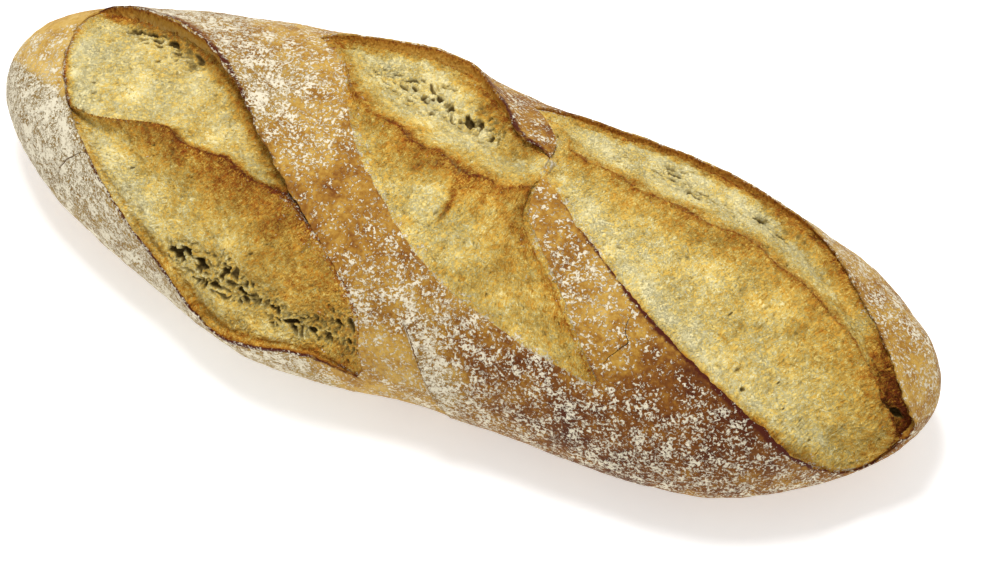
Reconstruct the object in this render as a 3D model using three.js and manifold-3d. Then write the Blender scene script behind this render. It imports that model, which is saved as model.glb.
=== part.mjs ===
// Country loaf: a long oval hearth loaf, slashed three times on the slant, so that the crust
// opened in the oven and the torn crumb swelled up between its edges.
// Millimetres, +Z up. X runs along the loaf, -Y is the near side, and the origin is the middle
// of the loaf's box, on the table that the loaf stands on.
import * as THREE from 'three';
import { mergeVertices } from 'three/addons/utils/BufferGeometryUtils.js';
import Module from 'manifold-3d';

// ---- Driving dimensions ----
const loafLength = 344;
const loafWidth = 119; // without the swells
const loafHeight = 80;
const waistHeight = 0.4 * loafHeight; // level of the widest line and of both tips
const baseDrop = 1.08; // how far the lower half would reach without the table, in waist heights
const endFullness = { left: 2.2, right: 2.35 }; // higher is blunter
const bend = { left: 7, right: 10.5 }; // how far each tip lies behind the straight middle
const sideShift = 1.6; // centres the bent loaf's box on the origin
const shoulder = { upper: 0.92, under: 0.8 }; // below 1 makes the section squarer than an ellipse

// Where the dough spread sideways: centre and reach along X, growth of the near and far side.
const swells = [
  { x: -45, reach: 40, near: 4.5, far: 1.5 },
  { x: 35, reach: 40, near: -3.7, far: 0.4 },
  { x: 125, reach: 35, near: 5, far: 4.5 },
];

// Slow waves over the whole crust: waves along the loaf, waves round it, phase and height.
const waves = [
  { along: 5, round: 2, phase: 0.7, height: 0.9 },
  { along: 9, round: 3, phase: 2.1, height: 0.5 },
  { along: 3, round: 5, phase: 4.0, height: 0.4 },
];

// The slashes. An edge point is [x in mm, turn about the loaf's length in degrees], with 0 on
// top, the near side below 0 and the far side above 0. The ear is the edge that the oven
// lifted, the lip is the edge facing it, and both run from the same tip to the same tip.
// The crest is the browned fold that runs through the crumb on the slant: its place across the
// slash, 0 at the ear and 1 at the lip, and its height. The dips are the low places between
// the crest and each edge. All four have five values, evenly spaced from the first tip to the
// last, and heights are above the crust's level.
const slashes = [
  {
    ear: [[-146, 42], [-125, 28], [-98, 14], [-71, -5], [-47, -23], [-26, -39], [-11, -56], [-5, -84]],
    lip: [[-149, 34], [-149, 6], [-141, -22], [-119, -49], [-86, -74], [-59, -91], [-27, -82], [-7, -89]],
    crestAt: [0.9, 0.98, 0.15, 0.08, 0.3],
    crestHeight: [0, 0.5, 4, 4, 1],
    dip: { ear: [-4, -6, -4.5, -1, -1], lip: [-1, -1.5, -4.5, -6.5, -4] },
    rims: [
      { edge: 'ear', from: -0.1, to: 0.66, height: 4.5 },
      { edge: 'lip', from: 0.3, to: 0.98, height: 1.8 },
    ],
  },
  {
    ear: [[-66, 43], [-45, 52], [-22, 58], [2, 37], [20, 19], [32, 6], [38, -9], [53, -27], [71, -49]],
    lip: [[-68, 40], [-57, 29], [-46, 13], [-36, 0], [-16, -16], [10, -35], [32, -45], [56, -52], [71, -55]],
    crestAt: [0.6, 0.9, 0.53, 0.15, 0.3],
    crestHeight: [0, 1.5, 3, 2, 0],
    dip: { ear: [-4, -7.5, -6, -1.5, -0.5], lip: [-1.5, -1.5, -1.5, -1, -0.5] },
    rims: [{ edge: 'ear', from: 0, to: 0.54, height: 4.5 }],
  },
  {
    ear: [
      [10, 46], [30, 58], [56, 62], [84, 59], [106, 50],
      [129, 31], [148, 11], [161, -16], [168, -52], [167, -84],
    ],
    lip: [
      [12, 40], [19, 18], [35, 7], [55, -5], [80, -21],
      [106, -35], [128, -51], [142, -72], [151, -92], [160, -107],
    ],
    crestAt: [0.6, 0.8, 0.42, 0.22, 0.3],
    crestHeight: [0, 2, 3.5, 3, 1],
    dip: { ear: [-3, -6, -5, -2.5, -4], lip: [-1, -1.5, -2.5, -3, -3] },
    rims: [
      { edge: 'ear', from: 0.02, to: 0.66, height: 2.5 },
      { edge: 'ear', from: 0.64, to: 1, height: 3 },
      { edge: 'lip', from: 0.4, to: 0.86, height: 1.5 },
    ],
  },
];

const cutDepth = 13; // floor of an opened slash, under the crust's level
const cutClearance = 26; // the cutting tool's top, over the crust's level
const crumbDepth = 16; // underside of the crumb, below the cut's floor
const crumbOverlap = 0.02; // how far the crumb runs under each edge, as a share of its width
const dipAt = 0.6; // where each dip lies, as a share of the way from the crest to the edge
const crestSlope = { ear: 1.5, lip: 1 }; // 1 is a straight slope up to the crest, and higher is hollow
const edgeShare = 0.7; // share of each dip's depth that reaches its edge
const edgeHeight = -1; // the crumb's height at an edge with no dip
const tipHeight = -2; // the crumb's height at both tips

// Section of a lifted rim: distance outwards from the edge, and height, both as shares of
// the rim's reach and height. It starts and ends inside the crust.
const rimSection = [[1, -0.35], [0.5, 0.3], [0.12, 0.9], [-0.14, 1], [-0.1, 0.66], [0.06, 0.1], [0.1, -0.8]];
const rimReach = 3.4; // in rim heights

// ---- Mesh fineness ----
const loafStations = 52;
const roundSteps = 42;
const slashSteps = 26;
const acrossSteps = 5; // on each side of the crest
const rimSteps = 16;

const wasm = await Module();
wasm.setup();

const toRadians = THREE.MathUtils.degToRad;
const blend = THREE.MathUtils.lerp;
const ease = (x) => THREE.MathUtils.smoothstep(x, 0, 1);
const steps = (count) => Array.from({ length: count + 1 }, (_, i) => i / count);

// ---- The loaf's skin ----
const signedPower = (value, power) => Math.sign(value) * Math.abs(value) ** power;

// Share of the full section left at x: 1 in the middle, 0 at the tips.
function fullnessAt(x) {
  const share = Math.min(Math.abs(x) / (loafLength / 2), 1);
  const end = x < 0 ? endFullness.left : endFullness.right;
  return Math.sqrt(1 - share ** end);
}

function halfWidthAt(x, side) {
  const swollen = swells.reduce((sum, s) => sum + s[side] * Math.exp(-(((x - s.x) / s.reach) ** 2)), 0);
  return (loafWidth / 2) * fullnessAt(x) + swollen * Math.min(1, 3 * fullnessAt(x));
}

function waveAt(x, turn) {
  return waves.reduce((sum, w) => {
    const along = Math.sin((w.along * Math.PI * x) / loafLength + w.phase);
    return sum + w.height * along * Math.cos(w.round * turn + w.phase);
  }, 0);
}

// Point on the plain loaf at x and a turn in radians about its length.
function plainPoint(x, turn) {
  const across = Math.sin(turn);
  const up = Math.cos(turn);
  const full = fullnessAt(x);
  const behind = (x < 0 ? bend.left : bend.right) * Math.abs(x / (loafLength / 2)) ** 3;
  const half = halfWidthAt(x, across < 0 ? 'near' : 'far');
  const rise = up > 0
    ? (loafHeight - waistHeight) * full * up ** shoulder.upper
    : -waistHeight * baseDrop * full * (-up) ** shoulder.under;
  return new THREE.Vector3(x, behind + half * signedPower(across, shoulder.upper), waistHeight + rise);
}

function outwardAt(x, turn) {
  const step = 0.01;
  const reach = loafLength / 2 - 1;
  const inside = THREE.MathUtils.clamp(x, -reach, reach);
  const along = plainPoint(inside + 0.5, turn).sub(plainPoint(inside - 0.5, turn));
  const round = plainPoint(inside, turn + step).sub(plainPoint(inside, turn - step));
  return along.cross(round).normalize();
}

// The same point, raised along the crust's normal.
function skinPoint(x, turn, height) {
  const point = plainPoint(x, turn).addScaledVector(outwardAt(x, turn), height);
  point.y += sideShift;
  return point;
}

// ---- Solids ----
// A closed solid through a row of closed sections with the same number of points each.
function loft(sections) {
  const count = sections[0].length;
  const points = sections.flat();
  const faces = [];
  for (let row = 0; row + 1 < sections.length; row++) {
    for (let i = 0; i < count; i++) {
      const a = row * count + i;
      const b = row * count + ((i + 1) % count);
      faces.push([a, b, b + count], [a, b + count, a + count]);
    }
  }
  for (const [row, turned] of [[0, true], [sections.length - 1, false]]) {
    const middle = new THREE.Vector3();
    sections[row].forEach((p) => middle.addScaledVector(p, 1 / count));
    points.push(middle);
    for (let i = 0; i < count; i++) {
      const edge = [row * count + i, row * count + ((i + 1) % count)];
      faces.push([...(turned ? edge.reverse() : edge), points.length - 1]);
    }
  }
  return solidFrom(points, faces);
}

function solidFrom(points, faces) {
  const volume = faces.reduce((sum, [a, b, c]) => {
    return sum + points[a].dot(new THREE.Vector3().crossVectors(points[b], points[c]));
  }, 0);
  const turned = volume < 0 ? faces.map(([a, b, c]) => [a, c, b]) : faces;
  const geometry = new THREE.BufferGeometry().setFromPoints(points).setIndex(turned.flat());
  const merged = mergeVertices(geometry, 1e-4);
  return new wasm.Manifold(new wasm.Mesh({
    numProp: 3,
    vertProperties: merged.attributes.position.array,
    triVerts: new Uint32Array(merged.index.array),
  }));
}

// The loaf before it is slashed, flat where it stands on the table.
function plainLoaf() {
  const sections = [];
  for (let station = 1; station < loafStations; station++) {
    const x = -(loafLength / 2) * Math.cos((Math.PI * station) / loafStations);
    const section = [];
    for (let i = 0; i < roundSteps; i++) {
      const share = i / roundSteps;
      const turn = 2 * Math.PI * share + 0.35 * Math.sin(2 * Math.PI * share); // closer together on top
      const point = skinPoint(x, turn - Math.PI, waveAt(x, turn - Math.PI) * fullnessAt(x));
      point.z = Math.max(point.z, 0);
      section.push(point);
    }
    sections.push(section);
  }
  return loft(sections);
}

// Places on a slash: along runs from tip to tip, across from the ear to the lip.
function slashPlace(slash, along, across) {
  const ear = slash.earCurve.getPoint(along);
  const lip = slash.lipCurve.getPoint(along);
  return { x: blend(ear.x, lip.x, across), turn: toRadians(blend(ear.y, lip.y, across)) };
}

// Value at a share of the way through evenly spaced keys, eased from each to the next.
function keyed(keys, share) {
  const place = share * (keys.length - 1);
  const from = Math.min(Math.floor(place), keys.length - 2);
  return blend(keys[from], keys[from + 1], ease(place - from));
}

// Height of the torn crumb over the crust's level: from the crest down to a dip on each side,
// and up again to the edge.
function crumbHeight(slash, along, across) {
  const crestAt = keyed(slash.crestAt, along);
  const side = across < crestAt ? 'ear' : 'lip';
  const way = side === 'ear' ? 1 - across / crestAt : (across - crestAt) / (1 - crestAt);
  const dip = keyed(slash.dip[side], along);
  const height = way < dipAt
    ? blend(dip, keyed(slash.crestHeight, along), (1 - way / dipAt) ** crestSlope[side])
    : blend(dip, edgeHeight + edgeShare * dip, ease((way - dipAt) / (1 - dipAt)));
  return blend(tipHeight, height, Math.sin(Math.PI * along) ** 0.6);
}

// A solid over the whole slash, between a floor and a top that are functions of the place.
function slashSolid(slash, overlap, floor, top) {
  return loft(steps(slashSteps).map((along) => {
    const crestAt = keyed(slash.crestAt, along);
    const ways = steps(acrossSteps);
    const toLip = ways.map((way) => blend(crestAt, 1 + overlap, way));
    const toEar = ways.slice(1).map((way) => blend(crestAt, -overlap, way));
    const places = [...toEar.reverse(), ...toLip];
    const at = (across, height) => {
      const { x, turn } = slashPlace(slash, along, across);
      return skinPoint(x, turn, height(along, across));
    };
    return [...places.map((s) => at(s, top)), ...places.reverse().map((s) => at(s, floor))];
  }));
}

const slashCut = (slash) => slashSolid(slash, 0, () => -cutDepth, () => cutClearance);

const tornCrumb = (slash) => slashSolid(
  slash,
  crumbOverlap,
  () => -crumbDepth,
  (along, across) => crumbHeight(slash, along, across),
);

// A lifted rim of crust along one stretch of an edge, leaning over the slash.
function liftedRim(slash, rim) {
  const from = Math.max(rim.from, 0);
  const outwards = rim.edge === 'ear' ? -1 : 1;
  return loft(steps(rimSteps).map((share) => {
    const along = blend(from, rim.to, share);
    const swell = Math.max(Math.sin((Math.PI * (along - rim.from)) / (rim.to - rim.from)), 0) ** 0.7;
    const height = rim.height * Math.max(swell, 0.12);
    const edge = slashPlace(slash, along, rim.edge === 'ear' ? 0 : 1);
    const inner = slashPlace(slash, along, 0.5);
    const edgePoint = skinPoint(edge.x, edge.turn, 0);
    const width = 2 * edgePoint.distanceTo(skinPoint(inner.x, inner.turn, 0));
    return rimSection.map(([out, up]) => {
      const across = (rim.edge === 'ear' ? 0 : 1) + (outwards * out * rimReach * height) / width;
      const place = slashPlace(slash, along, across);
      return skinPoint(place.x, place.turn, up * height);
    });
  }));
}

// ---- The loaf ----
function countryLoaf() {
  for (const slash of slashes) {
    slash.earCurve = new THREE.SplineCurve(slash.ear.map(([x, turn]) => new THREE.Vector2(x, turn)));
    slash.lipCurve = new THREE.SplineCurve(slash.lip.map(([x, turn]) => new THREE.Vector2(x, turn)));
  }
  let loaf = plainLoaf();
  for (const slash of slashes) loaf = loaf.subtract(slashCut(slash));
  for (const slash of slashes) loaf = loaf.add(tornCrumb(slash));
  for (const slash of slashes) {
    for (const rim of slash.rims) loaf = loaf.add(liftedRim(slash, rim));
  }
  // Only the outer surface is kept, so that what the joins sealed off inside is solid.
  return loaf.decompose().reduce((a, b) => (a.volume() > b.volume() ? a : b));
}

function geometryOf(solid) {
  const { vertProperties, triVerts } = solid.getMesh();
  const geometry = new THREE.BufferGeometry();
  geometry.setAttribute('position', new THREE.BufferAttribute(vertProperties, 3));
  geometry.setIndex(new THREE.BufferAttribute(triVerts, 1));
  geometry.computeVertexNormals();
  return geometry;
}

const crust = new THREE.MeshStandardMaterial({ color: 0xcf9c50, roughness: 0.8, metalness: 0 });
const loaf = new THREE.Mesh(geometryOf(countryLoaf()), crust);
loaf.name = 'loaf';

const object = new THREE.Group();
object.add(loaf);

export default object;
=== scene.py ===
import math

import bpy
import numpy as np
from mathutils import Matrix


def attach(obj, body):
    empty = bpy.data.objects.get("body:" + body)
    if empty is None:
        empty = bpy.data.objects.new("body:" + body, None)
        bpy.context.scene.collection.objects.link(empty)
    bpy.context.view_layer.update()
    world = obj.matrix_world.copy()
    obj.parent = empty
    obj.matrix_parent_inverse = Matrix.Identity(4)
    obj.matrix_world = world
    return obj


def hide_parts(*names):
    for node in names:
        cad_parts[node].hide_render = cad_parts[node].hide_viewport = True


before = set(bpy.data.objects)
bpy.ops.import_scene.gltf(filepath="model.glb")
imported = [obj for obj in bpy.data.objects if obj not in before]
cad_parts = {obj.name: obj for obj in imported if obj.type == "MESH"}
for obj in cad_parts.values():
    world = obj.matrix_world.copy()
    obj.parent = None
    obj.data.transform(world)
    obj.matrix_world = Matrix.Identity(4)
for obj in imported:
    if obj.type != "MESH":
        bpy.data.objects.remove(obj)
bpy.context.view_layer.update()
print("country loaf: frame loaded")

mm = 0.001

# The dough's form. Millimetres; a turn goes about the loaf's length, 0 on top and below 0 on the near side.
loafForm = {
    "length": 344,
    "width": 119,
    "height": 80,
    "waist": 0.4,  # level of the widest line, as a share of the height
    "baseDrop": 1.08,  # how far the lower half would reach without the table, in waist heights
    "endFullness": (2.2, 2.35),  # left, right; higher is blunter
    "bend": (7, 10.5),  # how far each tip lies behind the straight middle
    "sideShift": 1.6,
    "shoulder": (0.92, 0.8),  # upper half, lower half; below 1 is squarer than an ellipse
    "swells": ((-45, 40, 4.5, 1.5), (35, 40, -3.7, 0.4), (125, 35, 5, 4.5)),  # x, reach, near, far
    "waves": ((5, 2, 0.7, 0.9), (9, 3, 2.1, 0.5), (3, 5, 4.0, 0.4)),  # along, round, phase, height
}

halfLength = loafForm["length"] / 2
waist = loafForm["waist"] * loafForm["height"]

# The slashes. Edges are [x, turn in degrees] from tip to tip: the ear is the one that the oven lifted, the
# lip faces it. Places are shares of the way from tip to tip and from ear to lip. Lists of plain numbers run
# evenly from tip to tip.
slashForms = {}
slashForms["Left"] = {
    "ear": ((-146, 42), (-125, 28), (-98, 14), (-71, -5), (-47, -23), (-26, -39), (-11, -56), (-5, -84)),
    "lip": ((-149, 34), (-149, 6), (-141, -22), (-119, -49), (-86, -74), (-59, -91), (-27, -82), (-7, -89)),
    "crestAt": (0.9, 0.95, 0.98, 0.99, 0.98, 0.42, 0.2, 0.02, 0, 0, 0, 0, 0.1),  # across the slash
    "crestHeight": (0, 0, 0.5, 1, 2.5, 4, 3.5, 1.5, -0.2, -0.5, -0.5, -0.5, -0.5),
    # the height of the low line between the crest and each edge, and its way from crest to edge
    "dip": {"ear": (-4, -6, -4.5, -1, -1), "lip": (-1, -1.5, -4.5, -6.5, -4)},
    "dipAt": {"ear": (0.8, 0.9, 0.85, 0.8, 0.8), "lip": (0.55, 0.55)},
    "edgeHeight": {"ear": (-4, -4, -3.5, -0.3, -0.1), "lip": (-0.3, -0.4, -2.5, -3, -1.2)},
    "rims": (("ear", 0, 0.58, 4.5), ("lip", 0.3, 0.98, 1.8)),  # edge, from, to, height
    "scorch": {"ear": (0.8, 1, 0.5, 0.05, 0), "lip": (0.1, 0.3, 0.7, 1, 0.6)},  # how burnt the edges are
    "pale": (11, (0, 0.15, 0.24, 0.14, 0.12, 0.05)),  # how far from the lip the crumb is paler, how much
    "webShade": 0.55,  # how much painted shade darkens the crumb round the holes
    "earFace": (3.5, 0.35),  # how wide the browned crumb under the ear is, how much browner
    "ledge": 1.1,  # how far the crest's torn skin stands over the side by the ear
    # browning on the crest, on both sides of it and in all
    "brown": {"crest": (0.3, 0.75, 0.95, 0.75, 0.6), "ear": 0.06, "lip": 0.5,
              "base": (0.3, 0.16, 0.24, 0.36, 0.32)},
    "holes": (  # along, across, length, width, depth
        (0.58, 0.89, 5, 3.6, 4), (0.58, 0.81, 4, 3, 3.5), (0.61, 0.77, 3.5, 3, 3), (0.65, 0.79, 2.5, 2, 2.5),
        (0.635, 0.64, 2.5, 2, 2), (0.68, 0.65, 3, 2, 2.4), (0.74, 0.58, 2.4, 2, 2), (0.79, 0.66, 3, 2.4, 2.2),
        (0.84, 0.68, 2.4, 2, 1.8), (0.86, 0.32, 2.4, 1.8, 1.8), (0.91, 0.32, 2, 1.6, 1.6),
        (0.14, 0.16, 3, 2, 2), (0.17, 0.1, 3, 2, 2.4), (0.22, 0.08, 3.4, 2.2, 2.6), (0.27, 0.04, 2.6, 1.5, 2),
    ),
}
slashForms["Middle"] = {
    "ear": ((-66, 43), (-45, 52), (-22, 56), (0, 36), (14, 21), (28, 16), (30, -3), (51, -25), (72, -51)),
    "lip": ((-68, 40), (-57, 29), (-46, 13), (-36, 0), (-16, -16), (10, -35), (32, -45), (56, -52),
            (71, -55)),
    "crestAt": (0.6, 0.8, 0.95, 0.95, 0.87, 0.71, 0.52, 0.38, 0.15, 0.1, 0.1, 0.2, 0.3),
    "crestHeight": (0, 0.8, 1.6, 2.4, 2.2, 1, 0.4, 0.2, 0),
    "dip": {"ear": (-4, -6, -7, -7, -5, -1.5, -0.8, -0.6, -0.5), "lip": (-1.5, -1.5, -1.5, -1, -0.5)},
    "dipAt": {"ear": (0.4, 0.48, 0.8, 0.8, 0.6), "lip": (0.6, 0.6)},
    "edgeHeight": {"ear": (-1, -0.6, -1, -0.3, -0.25), "lip": (-0.3, -0.3, -0.3, -0.3, -0.25)},
    "rims": (("ear", 0, 0.6, 4.2),),
    "scorch": {"ear": (0.4, 0.5, 0.8, 0.1, 0.1), "lip": (0.1, 0.1, 0.15, 0.2, 0.15)},
    "pale": (6, (0, 0, 0)),
    "webShade": 0.2,
    "earFace": (6, 0.22),
    "ledge": 0.7,
    "brown": {"crest": (0.4, 0.6, 0.9, 0.6, 0.4), "ear": 0.2, "lip": 0.3,
              "base": (0.28, 0.2, 0.22, 0.33, 0.32)},
    "holes": (
        (0.19, 0.56, 4, 2, 2.5), (0.23, 0.53, 2, 1.4, 1.6), (0.255, 0.5, 3.6, 2, 2.6),
        (0.27, 0.43, 2.4, 1.6, 2), (0.31, 0.42, 3, 1.8, 2.6), (0.31, 0.3, 2.4, 1.6, 2),
        (0.34, 0.26, 2, 1.4, 1.6), (0.38, 0.2, 4, 2, 3), (0.4, 0.14, 3, 1.8, 2.4), (0.445, 0.13, 2.4, 1.6, 2),
    ),
}
slashForms["Right"] = {
    "ear": ((10, 46), (30, 58), (56, 62), (84, 59), (106, 50), (129, 31), (148, 11), (161, -16), (168, -52),
            (167, -84)),
    "lip": ((13, 43), (25, 27), (28, 11), (36, 5), (55, -6), (80, -21), (106, -35), (128, -51),
            (142, -72), (151, -92), (160, -107)),
    "crestAt": (0.6, 0.7, 0.78, 0.76, 0.68, 0.56, 0.41, 0.3, 0.22, 0.18, 0.16, 0.2, 0.3),
    "crestHeight": (0, 2, 3.5, 3, 1),
    "dip": {"ear": (-3, -5, -4.5, -2.5, -4), "lip": (-1, -1.5, -2.5, -3, -3)},
    "dipAt": {"ear": (0.35, 0.45, 0.74, 0.7, 0.6), "lip": (0.6, 0.6)},
    "edgeHeight": {"ear": (-0.8, -0.4, -0.5, -1, -2),
                   "lip": (-2.2, -1.8, -0.4, -0.3, -1.2, -1.5, -1.8, -1.2, -0.5)},
    "rims": (("ear", 0.02, 0.66, 2.5), ("ear", 0.64, 1, 3), ("lip", 0.4, 0.86, 1.5)),
    "scorch": {"ear": (0.3, 0.5, 0.5, 0.6, 1), "lip": (0.1, 0.3, 0.9, 1, 0.6)},
    "pale": (9, (0, 0.1, 0.18, 0.22, 0.18, 0.1, 0)),
    "webShade": 0.2,
    "earFace": (6, 0.3),
    "ledge": 0.6,
    "brown": {"crest": (0.35, 0.7, 0.75, 0.6, 0.45), "ear": 0.22, "lip": 0.3,
              "base": (0.25, 0.2, 0.2, 0.26, 0.4)},
    "holes": (
        (0.23, 0.5, 3, 2, 2.6), (0.285, 0.46, 3, 2.2, 3), (0.29, 0.25, 2.8, 2, 2.4), (0.345, 0.32, 4, 3, 3.2),
        (0.39, 0.26, 2.6, 1.8, 2.2), (0.425, 0.15, 4, 2.2, 3), (0.48, 0.15, 2.4, 1.8, 2),
        (0.47, 0.13, 2.4, 1.8, 2),
    ),
}


def blend(a, b, share):
    return a + (b - a) * share


def ease(value):
    value = np.clip(value, 0, 1)
    return value * value * (3 - 2 * value)


def bump(distance, reach):  # 1 in the middle, nearly 0 at twice the reach
    return np.exp(-((distance / reach) ** 2))


def signedPower(value, power):
    return np.sign(value) * np.abs(value) ** power


def arch(share, power):  # 1 half way, 0 at both ends
    return np.clip(np.sin(math.pi * share), 0, 1) ** power


def keyBefore(keys, share):
    # the key before a share of the way through evenly spaced keys, and the way on from it
    place = np.clip(share, 0, 1) * (len(keys) - 1)
    at = np.minimum(place.astype(int), len(keys) - 2)
    return at, place - at


def keyed(keys, share):
    # value at a share of the way through evenly spaced keys, eased between them
    keys = np.array(keys, float)
    at, way = keyBefore(keys, share)
    return blend(keys[at], keys[at + 1], ease(way))


def spline(points, share):
    # a smooth line through all points, at shares of the way
    points = np.array(points, float)
    at, way = keyBefore(points, share)
    way = way[..., None]
    held = np.vstack([points[:1], points, points[-1:]])
    a, b, c, d = (held[at + k] for k in range(4))
    leaving, arriving = (c - a) / 2, (d - b) / 2
    cubic = 2 * b - 2 * c + leaving + arriving
    square = 3 * c - 3 * b - 2 * leaving - arriving
    return cubic * way**3 + square * way**2 + leaving * way + b


def goneAlong(points):
    # how far along a line each of its points lies
    steps = np.linalg.norm(np.diff(points, axis=0), axis=-1)
    return np.concatenate([0 * steps[:1], np.cumsum(steps, axis=0)])


noiseCells = 256  # after which the noise repeats
seedStep = 31.7  # each seed takes the noise from another place

dice = np.random.default_rng(7)
noiseOrder = np.tile(dice.permutation(noiseCells), 2)
noiseSlopes = dice.normal(size=(noiseCells, 3))
noiseSlopes /= np.linalg.norm(noiseSlopes, axis=1)[:, None]


def noise(points, size, seed=0):
    # smooth noise from -1 to 1, with features of about this size
    place = points / np.asarray(size, float) + seedStep * seed
    cell = np.floor(place).astype(int)
    inside = place - cell
    weight = inside**3 * (inside * (inside * 6 - 15) + 10)
    total = np.zeros(points.shape[:-1])
    for corner in np.ndindex(2, 2, 2):
        a, b, c = ((cell[..., k] + corner[k]) % noiseCells for k in range(3))
        slope = noiseSlopes[noiseOrder[noiseOrder[noiseOrder[a] + b] + c]]
        share = np.prod(np.where(corner, weight, 1 - weight), axis=-1)
        total += share * (slope * (inside - corner)).sum(-1)
    return total * 1.7


def layered(points, size, layers, seed=0):
    # noise with ever finer and weaker layers on top
    return sum(noise(points, np.asarray(size) / 2**k, seed + 5 * k) / 2**k for k in range(layers))


def ridged(points, size, seed=0):  # 1 along thin winding lines, falling to 0 between them
    return 1 - np.minimum(np.abs(noise(points, size, seed)) * 2.2, 1)


bubblePlaces = dice.random((noiseCells, 3))  # place in the cell, number
bubbleStep = 17.3


def bubbled(places, size, seed=0):
    # irregular bubbles: each place's distance from its bubble's wall, and the bubble's number
    place = places / np.asarray(size, float) + bubbleStep * seed
    cell = np.floor(place).astype(int)
    first = second = np.full(place.shape[:-1], np.inf)
    number = np.zeros(place.shape[:-1])
    for shift in np.ndindex(3, 3):
        near = cell + shift - 1
        own = bubblePlaces[noiseOrder[noiseOrder[near[..., 0] % noiseCells] + near[..., 1] % noiseCells]]
        distance = np.linalg.norm(near + own[..., :2] - place, axis=-1)
        second = np.where(distance < first, first, np.minimum(second, distance))
        number = np.where(distance < first, own[..., 2], number)
        first = np.minimum(first, distance)
    return second - first, number


def fullness(x):
    share = np.clip(np.abs(x) / halfLength, 0, 1)
    left, right = loafForm["endFullness"]
    return np.sqrt(1 - share ** np.where(x < 0, left, right))


def halfWidth(x, near):
    full = fullness(x)
    grown = sum(np.where(near, n, f) * bump(x - at, reach) for at, reach, n, f in loafForm["swells"])
    return loafForm["width"] / 2 * full + grown * np.minimum(1, 3 * full)


def bendAt(x):
    left, right = loafForm["bend"]
    return np.where(x < 0, left, right) * np.abs(x / halfLength) ** 3


def plainPoint(x, turn):
    across, up = np.sin(turn), np.cos(turn)
    full = fullness(x)
    upper, under = loafForm["shoulder"]
    rise = (loafForm["height"] - waist) * full * np.abs(up) ** upper
    drop = waist * loafForm["baseDrop"] * full * np.abs(up) ** under
    y = bendAt(x) + halfWidth(x, across < 0) * signedPower(across, upper)
    return np.stack([x, y, waist + np.where(up > 0, rise, -drop)], -1)


def outward(x, turn):
    x = np.clip(x, 1 - halfLength, halfLength - 1)
    lengthways = plainPoint(x + 0.5, turn) - plainPoint(x - 0.5, turn)
    sideways = plainPoint(x, turn + 0.01) - plainPoint(x, turn - 0.01)
    normal = np.cross(lengthways, sideways)
    return normal / np.linalg.norm(normal, axis=-1)[..., None]


def skin(x, turn, height=0.0):
    # points on the loaf, raised along the crust's normal
    x, turn, height = np.broadcast_arrays(x, turn, height)
    points = plainPoint(x, turn) + outward(x, turn) * height[..., None]
    points[..., 1] += loafForm["sideShift"]
    return points


def unwrap(points):
    # x and turn of points near the skin
    x = points[:, 0]
    upper, under = loafForm["shoulder"]
    full = np.maximum(fullness(x), 0.02)
    side = points[:, 1] - loafForm["sideShift"] - bendAt(x)
    rise = points[:, 2] - waist
    across = signedPower(side / np.maximum(halfWidth(x, side < 0), 1), 1 / upper)
    above = signedPower(rise / ((loafForm["height"] - waist) * full), 1 / upper)
    below = signedPower(rise / (waist * loafForm["baseDrop"] * full), 1 / under)
    return x, np.arctan2(across, np.where(rise > 0, above, below))


def slashPlace(slash, along, across):
    ear, lip = spline(slash["ear"], along), spline(slash["lip"], along)
    place = blend(ear, lip, np.asarray(across)[..., None])
    return place[..., 0], np.radians(place[..., 1])


def slashWidth(slash, along):
    edges = [skin(*slashPlace(slash, along, np.full_like(along, side))) for side in (0.0, 0.5, 1.0)]
    return goneAlong(edges)[-1]


def rimHeight(slash, edge, along):
    total = 0 * along
    for side, start, end, height in slash["rims"]:
        if side == edge:
            total = total + height * arch(np.clip((along - start) / (end - start), 0, 1), 0.7)
    return total


def deselectAll():
    bpy.ops.object.select_all(action="DESELECT")


def pick(obj):
    deselectAll()
    obj.select_set(True)
    bpy.context.view_layer.objects.active = obj


def editing(on):
    bpy.ops.object.mode_set(mode="EDIT" if on else "OBJECT")


def pointsOf(obj):
    points = np.empty(len(obj.data.vertices) * 3)
    obj.data.vertices.foreach_get("co", points)
    return points.reshape(-1, 3)


def setPoints(obj, points):
    obj.data.vertices.foreach_set("co", points.astype(np.float32).ravel())
    obj.data.update()


def volumeOf(obj):  # below 0 when the faces point inwards
    obj.data.calc_loop_triangles()
    corners = np.empty(len(obj.data.loop_triangles) * 3, dtype=np.int32)
    obj.data.loop_triangles.foreach_get("vertices", corners)
    a, b, c = (pointsOf(obj)[corners[k::3]] for k in range(3))
    return (a * np.cross(b, c)).sum() / 6


def setShade(obj, name, values):
    # a number at each vertex, for materials to read
    attribute = obj.data.attributes.new(name, "FLOAT", "POINT")
    attribute.data.foreach_set("value", values.astype(np.float32))


def newPrimitive(name, add, **settings):
    deselectAll()
    add(**settings)
    obj = bpy.context.object
    obj.name = obj.data.name = name
    return obj


touching = 1e-6  # points nearer than this, in metres, are one


def newSheet(name, columns, rows):
    # a flat grid over X and Y from 0 to 1
    sheet = newPrimitive(name, bpy.ops.mesh.primitive_grid_add, x_subdivisions=columns, y_subdivisions=rows,
                         size=1, location=(0.5, 0.5, 0))
    bpy.ops.object.transform_apply(location=True)
    return sheet


def closeUp(obj):
    # merges what touches, fills what is open and points the faces outwards
    pick(obj)
    editing(True)
    bpy.ops.mesh.select_all(action="SELECT")
    bpy.ops.mesh.remove_doubles(threshold=touching)
    bpy.ops.mesh.select_non_manifold()
    bpy.ops.mesh.fill_holes(sides=0)
    bpy.ops.mesh.select_all(action="SELECT")
    bpy.ops.mesh.quads_convert_to_tris()
    bpy.ops.mesh.normals_make_consistent(inside=False)
    editing(False)


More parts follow.
